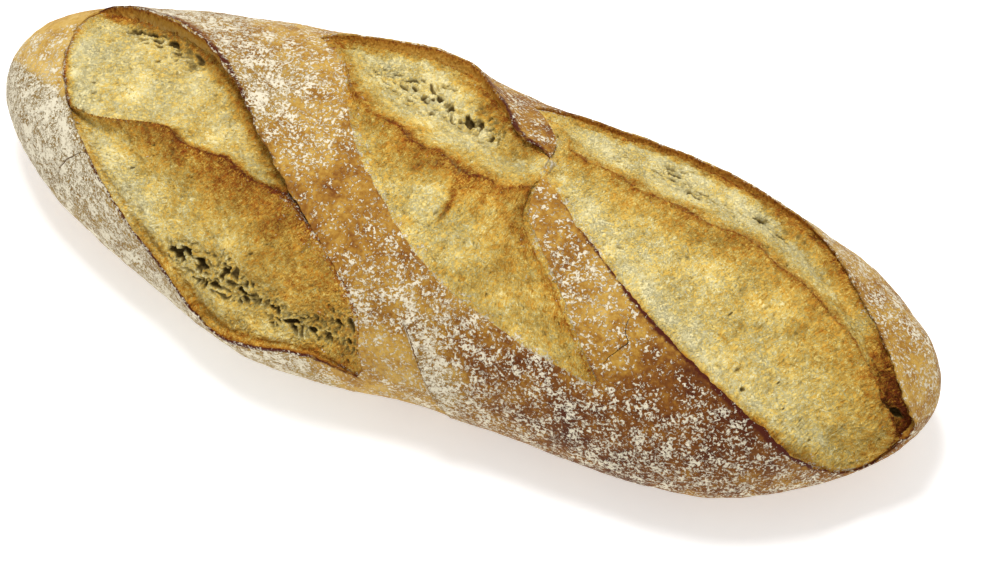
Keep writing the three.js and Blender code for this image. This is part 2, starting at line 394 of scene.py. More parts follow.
def nearest(points, line):
    # distance to a dense line, and the share of the line where it is nearest
    distance, share = np.empty(len(points)), np.empty(len(points))
    squares = (line**2).sum(1)
    atOnce = 20000  # more would fill the memory
    for start in range(0, len(points), atOnce):
        some = slice(start, start + atOnce)
        gaps = squares - 2 * points[some] @ line.T
        at = gaps.argmin(1)
        least = gaps[np.arange(len(at)), at] + (points[some] ** 2).sum(1)
        distance[some] = np.sqrt(np.maximum(least, 0))
        share[some] = at / (len(line) - 1)
    return distance, share


def isInside(x, turn, outline):
    # whether places lie inside a closed outline of [x, turn] points
    inside = np.zeros(x.shape, bool)
    for (ax, at), (bx, bt) in zip(outline, np.roll(outline, -1, axis=0)):
        inside ^= ((at > turn) != (bt > turn)) & (x < (bx - ax) * (turn - at) / (bt - at + 1e-12) + ax)
    return inside


crustForm = {
    "rings": 340,
    "segments": 280,
    "trialSteps": 4000,
    "topShare": 0.35,  # how much closer together the segments are on top
    "lumps": (24, 0.55),  # size, height
    "wrinkles": (5, 0.18),
    "rimReach": (15, 2.4),  # how far a rim flares out over the crust, and how steeply
    "lineSteps": 300,
    "outlineSteps": 90,
    # where the crust's right side lies over its left, on the near side
    "fold": ((4, -54), (7, -58), (11, -66), (15, -76), (19, -87), (24, -98)),
    "foldHeight": 2.6,
    "foldSteps": 120,
    # open cracks: width, depth, how far the bottom slants to the right, and their line
    "cracks": {
        "fold": (1.6, 4, 3.2, ((4, -53), (7, -58), (11, -66), (15, -76), (19, -87), (24, -98), (26, -104))),
        "hairRight": (0.8, 1.6, 0.2, ((75, -20), (75, -29), (77, -33), (74, -39), (71, -47))),
        "hairLeft": (1.3, 2, 0.8, ((-119, -45), (-126, -52), (-131, -63), (-132, -76), (-129, -88))),
    },
    # x, turn, how thick the flour lies and how dark the crust is baked
    "dusting": (
        (-160, -50, 0.92, 0.2), (-150, 0, 0.55, 0.25), (-165, 38, 0.05, 0.3), (-140, -75, 0.92, 0.2),
        (-118, -92, 0.82, 0.25), (-78, -98, 0.84, 0.25), (-40, -100, 0.8, 0.3), (-118, 36, 0.78, 0.42),
        (-88, 19, 0.72, 0.46), (-75, 4, 0.8, 0.35), (-70, 34, 0.5, 0.4), (-50, -2, 0.58, 0.45),
        (-33, -24, 0.38, 0.6), (-12, -28, 0.45, 0.55), (5, -36, 0.58, 0.55), (-4, -46, 0.68, 0.5),
        (15, -48, 0.68, 0.5), (0, -78, 0.5, 0.35), (18, -80, 0.76, 0.4), (35, -60, 0.58, 0.75),
        (55, -66, 0.57, 0.8), (45, -89, 0.61, 0.65), (66, -76, 0.58, 0.85), (37, 4, 0.48, 0.5),
        (55, -16, 0.58, 0.5), (66, -30, 0.55, 0.4), (76, -38, 0.42, 0.55), (92, -42, 0.34, 0.8),
        (84, -57, 0.59, 0.78), (112, -54, 0.6, 0.95), (126, -62, 0.54, 0.9), (100, -82, 0.64, 0.85),
        (22, 28, 0.5, 0.62), (120, -90, 0.62, 0.7), (140, -84, 0.62, 0.65), (112, 46, 0.62, 0.4),
        (145, 30, 0.6, 0.45), (164, 8, 0.55, 0.42), (169, -15, 0.5, 0.4), (-60, 80, 0.62, 0.35),
        (60, 85, 0.62, 0.35), (-100, 120, 0.5, 0.4), (100, 120, 0.5, 0.4), (0, 130, 0.5, 0.4),
        (0, 180, 0.35, 0.5), (-120, 180, 0.35, 0.5), (120, 180, 0.35, 0.5),
    ),
    "dustingReach": 13,
    "scorchReach": 1.5,
}

cutForm = {
    "rows": 330,
    "heights": (26, 6, 3, 1, 0.2, -0.6, -1.4, -2.4, -4.5, -8),  # the wall's corners, from a rim's top
    "undercut": (0, 0, 0, 0, 0, 0.1, 2.2, 4, 5, 5),
    "lining": (0, 0, 0, 0, 0.1, 0.5, 1.1, 1.2, 0.4, 0),  # how far torn crust stands in under a full rim
    "floor": -13,
    "jitter": ((7, 0.7), (2.2, 0.45), (0.9, 0.22)),  # size, depth of the edges' unevenness
    "crackRows": 90,
}


def edgeJitter(slash, side, along):
    # how far the torn edge wanders out of its line
    edge = skin(*slashPlace(slash, along, np.full(np.shape(along), float(side == "lip"))))
    wander = sum(reach * noise(edge, size, seed=11) for size, reach in cutForm["jitter"])
    return wander * ease(np.minimum(along, 1 - along) / 0.05)


def waves(x, turn):
    total = 0
    for along, about, phase, height in loafForm["waves"]:
        lengthways = height * np.sin(along * math.pi * x / loafForm["length"] + phase)
        total = total + lengthways * np.cos(about * turn + phase)
    return total * fullness(x)


def lineOnSkin(line, steps):
    places = spline(line, np.linspace(0, 1, steps))
    return skin(places[:, 0], np.radians(places[:, 1]))


def edgeRelief(slash, x, turn, points):
    # the rims: full height on the edges, flared out over the crust, and handed over inside the slash
    reach, steepness = crustForm["rimReach"]
    steps = np.linspace(0, 1, crustForm["outlineSteps"])
    outline = np.vstack([spline(slash["ear"], steps), spline(slash["lip"], steps[::-1])])
    opened = isInside(x, np.degrees(turn), outline)
    ear = nearest(points, lineOnSkin(slash["ear"], crustForm["lineSteps"]))
    lip = nearest(points, lineOnSkin(slash["lip"], crustForm["lineSteps"]))
    height = 0
    for side, (distance, along), other in (("ear", ear, lip[0]), ("lip", lip, ear[0])):
        flare = np.clip(1 - distance / reach, 0, 1) ** steepness
        shared = ease(1.7 - 2 * distance / (distance + other + 1e-6))
        height = height + rimHeight(slash, side, along) * shared * np.where(opened, 1, flare)
    return height


def groundRelief(x, turn):
    # the dough's own unevenness, under the rims
    height = waves(x, turn)
    for seed, key in enumerate(("lumps", "wrinkles"), 1):
        size, lift = crustForm[key]
        height = height + lift * layered(skin(x, turn), size, 3, seed)
    return height * np.minimum(1, 4 * fullness(x))


def fromFold(points, x, turn):
    # distance from the fold, above 0 on the side that lies on top, and how full the fold is there
    distance, at = nearest(points, lineOnSkin(crustForm["fold"], crustForm["foldSteps"]))
    places = np.array(crustForm["fold"], float)[::-1]
    over = x > np.interp(np.degrees(turn), places[:, 1], places[:, 0])
    return distance * np.where(over, 1, -1), arch(np.clip(at, 0.02, 0.98), 0.5)


def crustRelief(x, turn):
    points = skin(x, turn)
    height = 0
    for slash in slashForms.values():
        height = height + edgeRelief(slash, x, turn, points)
    signed, fade = fromFold(points, x, turn)
    distance = np.abs(signed)
    lifted = blend(-0.3 * np.exp(-distance / 4), np.exp(-distance / 9), ease(signed / 2.4 + 0.5))
    height += crustForm["foldHeight"] * fade * lifted
    return groundRelief(x, turn) + height * np.minimum(1, 4 * fullness(x))


def makeCrust():
    crust = newPrimitive("crust", bpy.ops.mesh.primitive_uv_sphere_add, segments=crustForm["segments"],
                         ring_count=crustForm["rings"], radius=1)
    editing(True)
    bpy.ops.mesh.select_all(action="SELECT")
    bpy.ops.transform.rotate(value=math.radians(90), orient_axis="Y", center_override=(0, 0, 0))
    editing(False)
    ball = pointsOf(crust)
    # the rings lie evenly along the outline from tip to tip
    trial = halfLength * np.sin(np.linspace(-math.pi / 2, math.pi / 2, crustForm["trialSteps"]))
    outline = np.stack([trial, loafForm["width"] / 2 * fullness(trial)], -1)
    gone = goneAlong(outline)
    station = 1 - np.arccos(np.clip(ball[:, 0], -1, 1)) / math.pi
    x = np.interp(station, gone / gone[-1], trial)
    turn = np.arctan2(ball[:, 1], ball[:, 2])
    turn -= crustForm["topShare"] * np.sin(turn)
    points = skin(x, turn, crustRelief(x, turn))
    points[:, 2] = np.maximum(points[:, 2], 0)
    setPoints(crust, points * mm)
    print("country loaf: crust shaped,", len(points), "points")
    for name, slash in slashForms.items():
        cutAway(crust, openingCutter(name, slash))
    for name, (width, depth, slant, line) in crustForm["cracks"].items():
        cutAway(crust, crackCutter(name, width, depth, slant, line))
    shadeCrust(crust)
    return crust


def cutAway(crust, cutter):
    closeUp(cutter)
    pick(crust)
    cut = crust.modifiers.new("cut", "BOOLEAN")
    cut.operation = "DIFFERENCE"
    cut.solver = "MANIFOLD"
    cut.object = cutter
    bpy.ops.object.modifier_apply(modifier=cut.name)
    print("country loaf:", cutter.name, "cut,", len(crust.data.polygons), "faces left")
    bpy.data.objects.remove(cutter)


def openingCutter(name, slash):
    # laid out flat, X from tip to tip and Y round the cut's section, then wrapped on the loaf
    steps = len(cutForm["heights"])
    cutter = newSheet("slash" + name, cutForm["rows"], 2 * steps)
    flat = pointsOf(cutter)
    along, place = flat[:, 0], np.rint(flat[:, 1] * 2 * steps).astype(int) % (2 * steps)
    # down the ear's wall, over the floor and up the lip's wall; the last corner closes on the first
    byLip = place >= steps
    step = np.where(byLip, 2 * steps - 1 - place, place)
    rim = np.where(byLip, rimHeight(slash, "lip", along), rimHeight(slash, "ear", along))
    high, under = np.array(cutForm["heights"], float)[step], np.array(cutForm["undercut"])[step]
    height = np.where(high > 6, high, np.where(step == steps - 1, cutForm["floor"], high + rim))
    swell = arch(along, 0.5)
    jitter = np.where(byLip, edgeJitter(slash, "lip", along), edgeJitter(slash, "ear", along))
    full = ease(rim / 4)
    frayed = 1 + 0.5 * noise(skin(*slashPlace(slash, along, byLip + 0.0), 2.0 * step), 2.5, seed=14)
    lining = np.array(cutForm["lining"])[step] * full * frayed
    out = jitter + under * swell * np.where(byLip, np.clip(rim / 2, 0.5, 1), 1 - 0.6 * full) - lining
    width = np.maximum(slashWidth(slash, along), 6)
    across = byLip + np.where(byLip, 1, -1) * out / width
    x, turn = slashPlace(slash, along, across)
    setPoints(cutter, skin(x, turn, height + groundRelief(x, turn)) * mm)
    return cutter


def crackCutter(name, width, depth, slant, line):
    # a thin wedge, open above the skin and narrowing to its bottom edge
    cutter = newSheet("crack" + name, cutForm["crackRows"], 3)
    flat = pointsOf(cutter)
    corner = np.rint(flat[:, 1] * 3).astype(int) % 3
    places = spline(line, flat[:, 0])
    x, turn = places[:, 0], np.radians(places[:, 1])
    taper = arch(flat[:, 0], 0.6) + 0.02
    ground = crustRelief(x, turn)
    wander = 0.35 * noise(skin(x, turn), 3, seed=12)
    side = np.choose(corner, (-width / 2, slant, width / 2)) * taper + wander
    height = ground + np.choose(corner, (1.5, -depth, 1.5)) * np.where(corner == 1, taper, 1)
    setPoints(cutter, skin(x + side, turn, height) * mm)
    return cutter


def shadeCrust(crust):
    points = pointsOf(crust) / mm
    x, turn = unwrap(points)
    ground = skin(x, turn)
    relief = crustRelief(x, turn)
    lift = ((points - ground) * outward(x, turn)).sum(-1)
    wall = np.clip(relief - lift, 0, 20)
    scorch = np.zeros(len(points))
    for slash in slashForms.values():
        for side in ("ear", "lip"):
            distance, along = nearest(ground, lineOnSkin(slash[side], crustForm["lineSteps"]))
            reach = crustForm["scorchReach"] * (1 + 0.6 * noise(ground, 4, seed=13))
            scorch = np.maximum(scorch, keyed(slash["scorch"][side], along) * np.exp(-distance / reach))
    flour, bake, total = 0, 0, 1e-9
    for atX, atTurn, flourThere, bakeThere in crustForm["dusting"]:
        away = (turn - math.radians(atTurn) + math.pi) % (2 * math.pi) - math.pi
        distance = np.hypot(x - atX, away * loafForm["width"] / 2)
        weight = bump(distance, crustForm["dustingReach"]) + 40 / (distance + 30) ** 3
        flour, bake, total = flour + weight * flourThere, bake + weight * bakeThere, total + weight
    signed, fade = fromFold(ground, x, turn)
    folded = fade * (0.35 * np.exp(-np.abs(signed) / 5) * np.tanh(signed))
    setShade(crust, "flour", flour / total + folded)
    setShade(crust, "bake", bake / total)
    setShade(crust, "scorch", scorch)
    setShade(crust, "wall", np.where(points[:, 2] < 0.5, 0, wall))


crust = makeCrust()


crumbForm = {
    "rows": 520,
    "columns": 156,
    "hiddenRun": (7, 4, 1.8),  # corners of the face's hidden side, behind the crust's edge
    "overhang": 2.2,  # how far the torn face draws back under a full rim
    "underSkin": 0.7,  # how far below the crust's skin the face ends
    "profileSteps": (43, 95),  # along a face, between the faces
    "hiddenSteps": 18,  # of a face, from its end under the crust
    "wallDepth": 12,
    "spineDepth": 17,
    "wander": (14, 0.015),  # the crest's bends: size, reach as a share of the slash's width
    "lumps": (16, 0.8),  # size, height
    "knobs": (5, 0.55),
    "threads": ((1.6, 5, 0.45), (0.9, 3, 0.3)),  # width, length and height of the torn threads
    "threadDrift": 2.6,
    "grain": (0.9, 0.1),
    "bubbles": (1.9, 0.3),  # size, depth
    "web": ((4.6, 3.6), 1.7),  # size of the open bubbles round the holes, depth
    "webReach": 6,
    "pits": 46,    "pitSize": (0.6, 1.6),
    "pitShape": ((0.4, 0.9), (0.8, 1.4), (0.5, 0.9)),  # length, width, depth; times the size
    "blister": ((-11, -11), (-13, -6), (-10, -1), (-4, 0), (3, -2), (5, -10), (2, -18), (-2, -19), (-8, -17)),
    "blisterMiddle": (-2, -9),
    "blisterSteps": (160, 80),
    "split": ((0.7, 0.13), (0.74, 0.15), (0.78, 0.15), (0.82, 0.08), (0.87, 0.03)),
    "splitWidth": 2.8,
    "splitDepth": 5,
    "splitSteps": 60,
}


def crestWay(slash, along, across, wander):
    # which side of the crest a place is on, and how far it lies from the crest to the edge
    crestAt = keyed(slash["crestAt"], along) + wander
    byEar = across < crestAt
    way = np.where(byEar, (crestAt - across) / np.maximum(crestAt, 0.01), (across - crestAt) / (1 - crestAt))
    return crestAt, byEar, np.clip(way, 0, 1)


def crestWander(points):
    size, reach = crumbForm["wander"]
    return reach * layered(points, size, 3, seed=20)


def crumbHeight(slash, along, byEar, way):
    keys = (slash[k] for k in ("dip", "dipAt", "edgeHeight"))
    dip, dipAt, edge = (np.where(byEar, keyed(k["ear"], along), keyed(k["lip"], along)) for k in keys)
    slope = np.where(byEar, 1.5, 1.0)
    inner = blend(dip, keyed(slash["crestHeight"], along), np.clip(1 - way / dipAt, 0, 1) ** slope)
    outer = blend(dip, edge, ease((way - dipAt) / (1 - dipAt)))
    return blend(-1, np.where(way < dipAt, inner, outer), arch(along, 0.45))


def facePoints(slash, side, along):
    # the torn face below one edge, from under the crust down to its foot: each point's way into the slash
    # and its height
    rim = rimHeight(slash, side, along)
    byEar, way = crestWay(slash, along, float(side == "lip"), 0)[1:]
    foot = crumbHeight(slash, along, byEar, way)
    back = crumbForm["overhang"] * np.minimum(rim / 3, 1)
    rough = edgeJitter(slash, side, along)
    far, middle, near = crumbForm["hiddenRun"]
    top = 0.92 * rim - crumbForm["underSkin"] * blend(0.45, 1, ease(rim / 1.5))
    into = (-far, -middle, -near, -0.5, -0.4 - 0.75 * back, -0.3 - back, -0.3 * back)
    lower = [blend(foot, top, share) for share in (0.62, 0.3, 0)]
    high = (foot - 4, 0.45 * rim - 2.4, 0.7 * rim - 1.4, top, *lower)
    return np.array([np.stack([i - rough, h + 0 * along], -1) for i, h in zip(into, high)])


def crumbProfile(slash, along, width, columns):
    # every row runs from under the ear over the crest to under the lip: each point's distance from the
    # ear, its height, its way along the profile and whether it shows
    faceSteps, innerSteps = crumbForm["profileSteps"]
    faces = {}
    for side in ("ear", "lip"):
        points = facePoints(slash, side, along)
        smooth = spline(points.reshape(len(points), -1), np.linspace(0, 1, faceSteps))
        faces[side] = smooth.reshape(faceSteps, len(along), 2)
    faces["lip"] = np.stack([width - faces["lip"][..., 0], faces["lip"][..., 1]], -1)[::-1]
    shares = np.linspace(0.03, 0.97, innerSteps)[:, None] + 0 * along
    wander = crestWander(skin(*slashPlace(slash, along + 0 * shares, shares)))
    byEar, way = crestWay(slash, along, shares, wander)[1:]
    inner = np.stack([shares * width, crumbHeight(slash, along + 0 * shares, byEar, way)], -1)
    line = np.concatenate([faces["ear"], inner, faces["lip"]])
    shows = ease((np.arange(faceSteps) - crumbForm["hiddenSteps"]) / 4)
    shown = np.concatenate([shows, np.ones(innerSteps), shows[::-1]])
    gone = goneAlong(line)
    result = np.empty((4, len(along), columns + 1))
    for row in range(len(along)):
        at = np.linspace(0, gone[-1, row], columns + 1)
        for k, values in enumerate((line[:, row, 0], line[:, row, 1], gone[:, row], shown)):
            result[k, row] = np.interp(at, gone[:, row], values)
    return result


def smeared(values, reach):
    # the mean over a square of cells
    for axis in (0, 1):
        padded = np.pad(values, [(reach + 1, reach) if k == axis else (0, 0) for k in (0, 1)], mode="edge")
        sums = np.cumsum(padded, axis=axis)
        size = 2 * reach + 1
        ahead = np.take(sums, range(size, sums.shape[axis]), axis=axis)
        values = (ahead - np.take(sums, range(sums.shape[axis] - size), axis=axis)) / size
    return values


def pitted(slash, across, run, width, wander):
    # how deep each place lies in the pits: big ones where they were seen, small ones at random
    depth, webbed = np.zeros(across.shape), np.zeros(across.shape)
    pits = list(slash["holes"])
    for atAlong, atAcross, *_ in pits:
        row = int(round(atAlong * (len(run) - 1)))
        away = np.hypot((run - run[row])[:, None], (across - atAcross) * width[:, None])
        webbed += bump(away, crumbForm["webReach"])
    low, high = crumbForm["pitSize"]
    for _ in range(crumbForm["pits"]):
        size = blend(low, high, dice.random() ** 3)
        place = dice.uniform(0.03, 0.97), dice.uniform(0.02, 0.98)
        pits.append((*place, *(size * dice.uniform(least, most) for least, most in crumbForm["pitShape"])))
    for atAlong, atAcross, long, wide, deep in pits:
        row = int(round(atAlong * (len(run) - 1)))
        start, end = np.searchsorted(run, (run[row] - long, run[row] + long))
        near = slice(start, end + 1)
        sideways = (across[near] - atAcross) * width[row] / (wide / 2)
        away = np.hypot((run[near] - run[row])[:, None] / (long / 2), sideways) * (1 + 0.4 * wander[near])
        depth[near] = np.maximum(depth[near], deep * ease((1.45 - away) / 0.6))
    return depth, ease(webbed)


def makeCrumb(name, slash):
    # laid out flat, X from tip to tip and Y from the ear to the lip, with its walls and underside
    rows, columns = crumbForm["rows"], crumbForm["columns"]
    crumb = newSheet("crumb" + name, rows, columns)
    editing(True)
    bpy.ops.mesh.select_mode(type="EDGE")
    bpy.ops.mesh.select_all(action="DESELECT")
    bpy.ops.mesh.select_non_manifold()
    for _ in range(2):
        bpy.ops.mesh.extrude_edges_move(TRANSFORM_OT_translate={"value": (0, 0, -1)})
    bpy.ops.transform.resize(value=(1, 0, 1), center_override=(0.5, 0.5, -2))
    bpy.ops.mesh.select_all(action="SELECT")
    bpy.ops.mesh.remove_doubles(threshold=touching)
    editing(False)
    flat = pointsOf(crumb)
    along = np.linspace(0, 1, rows + 1)
    middle = skin(*slashPlace(slash, along, np.full(rows + 1, 0.5)))
    run = goneAlong(middle)
    width = np.maximum(slashWidth(slash, along), 1)
    profile = crumbProfile(slash, along, width, columns)
    surface = crumbSurface(name, slash, along[:, None] + 0 * profile[0], profile, run, width)
    # each point of the mesh finds its cell, and the walls and underside hang below it
    cell = np.rint(flat[:, 0] * rows).astype(int), np.rint(flat[:, 1] * columns).astype(int)
    below = np.rint(-flat[:, 2]).astype(int)
    x, turn = surface["x"][cell], surface["turn"][cell]
    room = np.minimum(1, 1.6 * fullness(x))
    hung = skin(x, turn, -room * np.choose(below, (0, crumbForm["wallDepth"], crumbForm["spineDepth"])))
    setPoints(crumb, np.where(below[:, None] == 0, surface["points"][cell], hung) * mm)
    for shade in ("brown", "hollow", "flour"):
        setShade(crumb, shade, surface[shade][cell])
    sheet = np.stack([run[cell[0]], profile[2][cell]], -1) * mm
    corners = np.empty(len(crumb.data.loops), dtype=np.int32)
    crumb.data.loops.foreach_get("vertex_index", corners)
    grain = crumb.data.uv_layers.new(name="grain")
    grain.uv.foreach_set("vector", sheet[corners].astype(np.float32).ravel())
    editing(True)
    bpy.ops.mesh.select_all(action="SELECT")
    bpy.ops.mesh.normals_make_consistent(inside=False)
    editing(False)
    if volumeOf(crumb) < 0:
        editing(True)
        bpy.ops.mesh.flip_normals()
        editing(False)
    print("country loaf: crumb", name, "shaped,", round(volumeOf(crumb) * 1e6, 1), "millilitres")
    return crumb


def crumbSurface(name, slash, along, profile, run, width):
    # the torn surface's points, how brown it is and how much painted shade its hollows get, all on the grid
    into, high, gone, shown = profile
    wide = width[:, None]
    across = into / wide
    x, turn = slashPlace(slash, along, across)
    x = np.clip(x, 2 - halfLength, halfLength - 2)
    base = skin(x, turn, high + groundRelief(x, turn))
    crestAt, byEar, way = crestWay(slash, along, across, crestWander(skin(x, turn)))
    fromCrest = (across - crestAt) * wide
    strength = keyed(slash["brown"]["crest"], along)
    inward = np.minimum(across, 1 - across) * wide
    relief = -slash["ledge"] * strength * ease(0.5 - fromCrest / 1.4) * np.exp(-np.abs(fromCrest) / 5)
    for seed, key in enumerate(("lumps", "knobs"), 21):
        size, lift = crumbForm[key]
        relief += lift * layered(base, size, 2, seed) * ease((inward + 1) / 5)
    if name == "Middle":
        blister, crescent = blisterForm(base, x, turn)
        relief += blister
    faceWidth, faceTone = slash["earFace"]
    face = ease(1.5 - np.maximum(across, 0) * wide / faceWidth * (1 + 0.4 * noise(base, 4, seed=35)))
    face *= ease(rimHeight(slash, "ear", along) / 1.8)
    relief += 0.5 * face * layered(base, 2.4, 2, seed=34)
    # torn threads: thin winding ridges that run across the slash
    sheet = np.stack([run[:, None] + 0 * gone, gone, 0 * gone], -1)
    drift = np.stack([noise(base, 7, seed=k) for k in (31, 32, 33)], -1)
    for seed, (thin, long, lift) in enumerate(crumbForm["threads"], 23):
        threads = ridged(sheet + crumbForm["threadDrift"] * drift + 40 * seed, (thin, long, 1), seed)
        relief += lift * (threads - 0.5)
    size, lift = crumbForm["grain"]
    relief += lift * layered(base, size, 2, seed=25)
    wander = noise(base, 1.6, seed=26)
    pits, webbed = pitted(slash, across, run, width, wander)
    flat = sheet[..., :2] + 2.4 * drift[..., :2] + 0.8 * noise(base, 2.5, seed=36)[..., None]
    size, depth = crumbForm["bubbles"]
    gap, number = bubbled(flat, size, seed=3)
    pits += depth * ease(gap / 0.5) * number
    size, depth = crumbForm["web"]
    gap, number = bubbled(flat, size, seed=5)
    pits += depth * webbed * ease((gap - 0.06) / 0.52) * (0.25 + number**2)
    pits *= ease(across * wide / 3.5) * ease((1 - across) * wide / 2.5)
    if name == "Right":
        pits += splitDepth(along, across, run, wide, wander)
    # where an edge has no rim, the crumb lies calm beside it
    rims = np.where(across < 0.5, rimHeight(slash, "ear", along), rimHeight(slash, "lip", along))
    rimless = 1 - ease(rims / 1.5)
    calm = rimless * (1 - ease(inward / 3.5))
    relief = (relief - pits) * shown * (1 - 0.8 * calm) * ease(np.minimum(along, 1 - along) / 0.04)
    normal = np.cross(np.gradient(base, axis=0), np.gradient(base, axis=1))
    normal /= np.linalg.norm(normal, axis=-1)[..., None] + 1e-9
    normal *= np.sign((normal * outward(x, turn)).sum(-1).mean())
    # tight and loose: how far each place lies below its surroundings, which the crumb's finish turns into
    # painted shade
    tight, loose = smeared(relief, 3) - relief, smeared(relief, 12) - relief
    brown = slash["brown"]
    line = 0.55 * np.exp(-np.abs(fromCrest) / 0.9)
    band = 0.6 * bump(fromCrest, np.where(byEar, brown["ear"], brown["lip"]) * 40)
    shade = blend(keyed(brown["base"], along), 1, strength * (line + band)) + faceTone * face
    paleReach, pale = slash["pale"]
    fromEdge = (1 - across) * wide - 0.6 * paleReach
    shade -= keyed(pale, along) * bump(fromEdge, 0.6 * paleReach * (1 + 0.5 * noise(base, 9, seed=37)))
    shade -= brown["ear"] * 0.6 * byEar * ease(3 * way) * (1 - face)
    for side, away in (("ear", -across), ("lip", across - 1)):
        rim = rimHeight(slash, side, along)
        beside = ease(1 + np.minimum(away, 0) * wide / 1.8)
        shade += beside * 0.28 * ease(rim / 3) * ease((high + 2) / (rim + 2.5))
        reach = 2 * (1 + 0.6 * noise(base, 5, seed=29))
        burnt = 0.4 * keyed(slash["scorch"][side], along) * np.exp(-np.abs(away * wide) / reach)
        shade += burnt * ease(high / 4 + 1.3)
    if name == "Middle":
        shade += crescent
    shade += 0.1 * layered(base, 14, 2, seed=27) + 0.08 * layered(base, 3, 2, seed=28)
    # flour drifts in over an edge that has no rim
    reach = 3 * (1 + 0.6 * noise(base, 8, seed=38))
    drifted = 0.66 * rimless * np.exp(-np.maximum(inward, 0) / reach)
    # hollow is painted shade: darker in the relief's hollows, in the pits and round the holes
    return {"points": base + normal * relief[..., None], "x": x, "turn": turn, "brown": shade,
            "hollow": 0.6 * tight + 0.4 * loose + 0.3 * pits + slash["webShade"] * webbed, "flour": drifted}


def blisterForm(base, x, turn):
    # a low blister with a crease round it, and how brown it is on the far side
    outline = (*crumbForm["blister"], crumbForm["blister"][0])
    lineSteps, insideSteps = crumbForm["blisterSteps"]
    distance = nearest(base.reshape(-1, 3), lineOnSkin(outline, lineSteps))[0].reshape(x.shape)
    inside = isInside(x, np.degrees(turn), spline(outline, np.linspace(0, 1, insideSteps)))
    relief = np.where(inside, 1.5 * ease(distance / 6), 0) - 0.6 * bump(distance, 0.8)
    middleX, middleTurn = crumbForm["blisterMiddle"]
    farSide = ease(0.5 + (x - middleX) / 16 + (np.degrees(turn) - middleTurn) / 16)
    return relief, 0.6 * farSide * bump(distance, 1.3) - np.where(inside, 0.12 * ease(distance / 4), 0)


def splitDepth(along, across, run, wide, wander):
    # the dark tear in the crumb at the last tip, beside the ear
    line = spline(crumbForm["split"], np.linspace(0, 1, crumbForm["splitSteps"]))
    sheet = np.stack([along * run[-1], across * wide], -1)
    middle = np.interp(line[:, 0], along[:, 0], wide[:, 0])
    points = np.stack([line[:, 0] * run[-1], line[:, 1] * middle], -1)
    distance, at = nearest(sheet.reshape(-1, 2), points)
    taper = arch(np.clip(at, 0.03, 0.97), 0.5).reshape(along.shape)
    half = crumbForm["splitWidth"] / 2 * taper * (1 + 0.4 * wander)
    return crumbForm["splitDepth"] * taper * ease((1.6 * half - distance.reshape(along.shape)) / half)


crumbs = {name: makeCrumb(name, slash) for name, slash in slashForms.items()}


class Wire:
    # a socket of a material in the making: maths written with it adds Math nodes
    def __init__(self, finish, socket):
        self.finish = finish
        self.socket = socket

    def maths(self, operation, *others):
        return self.finish.node("Math", {"operation": operation}, dict(enumerate((self, *others))))

    def __add__(self, other):
        return self.maths("ADD", other)

    def __sub__(self, other):
        return self.maths("SUBTRACT", other)

    def __rsub__(self, other):
        return self.finish.node("Math", {"operation": "SUBTRACT"}, {0: other, 1: self})

    def __mul__(self, other):
        return self.maths("MULTIPLY", other)

    __radd__ = __add__
    __rmul__ = __mul__


class Finish:
    # a material in the making
    def __init__(self, name):
        self.material = bpy.data.materials.new(name)
        self.material.use_nodes = True
        self.tree = self.material.node_tree
        self.shader = self.tree.nodes["Principled BSDF"]

    def feed(self, node, sockets):
        for name, value in sockets.items():
            if isinstance(value, Wire):
                self.tree.links.new(value.socket, node.inputs[name])
            else:
                node.inputs[name].default_value = value

    def node(self, kind, settings, sockets, output=0):
        made = self.tree.nodes.new("ShaderNode" + kind)
        stops = settings.pop("stops", ())
        for name, value in settings.items():
            setattr(made, name, value)
        for k, (at, tint) in enumerate(stops):
            stop = made.color_ramp.elements[k] if k < 2 else made.color_ramp.elements.new(at)
            stop.position = at
            stop.color = tint
        self.feed(made, sockets)
        return Wire(self, made.outputs[output])

    def attribute(self, name):
        return self.node("Attribute", {"attribute_name": name}, {}, output=2)

    def place(self):
        return self.node("TexCoord", {}, {}, output=3)

    def stretched(self, place, scale):
        return self.node("Mapping", {}, {"Vector": place, "Scale": scale})

    def noise(self, place, size, detail=2, rough=0.5, twist=0.0):
        return self.node("TexNoise", {}, {"Vector": place, "Scale": 1 / (size * mm), "Detail": detail,
                                          "Roughness": rough, "Distortion": twist})

    def step(self, value, low, high):  # 0 below low, 1 above high
        return self.node("MapRange", {"interpolation_type": "SMOOTHSTEP"}, {0: value, 1: low, 2: high})

    def ramp(self, value, stops):
        return self.node("ValToRGB", {"stops": stops}, {0: value})

    def mixed(self, share, a, b):
        return self.node("Mix", {"data_type": "RGBA"}, {0: share, 6: a, 7: b}, output=2)

    def bumped(self, height):  # height in millimetres
        return self.node("Bump", {}, {"Strength": 1, "Distance": mm, "Height": height})


def tint(red, green, blue):
    # a colour as a painter reads it, 0 to 255, in the linear light that materials use
    return (*(((k / 255 + 0.055) / 1.055) ** 2.4 if k > 10 else k / 3294.6 for k in (red, green, blue)), 1)


crustFinish = {
    "baked": ((0, tint(222, 190, 116)), (0.3, tint(198, 157, 72)), (0.52, tint(166, 119, 42)),
              (0.74, tint(124, 74, 22)), (1, tint(82, 37, 9))),
    "scorched": tint(76, 24, 5),
    "flour": tint(232, 222, 196),
    "dusty": tint(106, 80, 40),  # the crust that shows between thick flour
    "torn": ((0, tint(112, 56, 14)), (0.15, tint(168, 110, 34)), (0.4, tint(204, 156, 66)),
             (1, tint(224, 192, 118))),
    "roughness": (0.66, 0.95),  # bare, floured
}

crumbFinish = {
    "baked": ((0, tint(244, 231, 176)), (0.2, tint(233, 208, 124)), (0.4, tint(220, 182, 84)),
              (0.6, tint(200, 146, 50)), (0.8, tint(158, 94, 22)), (1, tint(104, 44, 8))),
    # painted shade: olive in the crumb's hollows, darker still in the deepest
    "hollow": tint(146, 124, 66),
    "deep": tint(78, 58, 24),
    # painted shade in the small pores that the bump sinks
    "pore": tint(108, 76, 34),
    "roughness": 0.8,
}


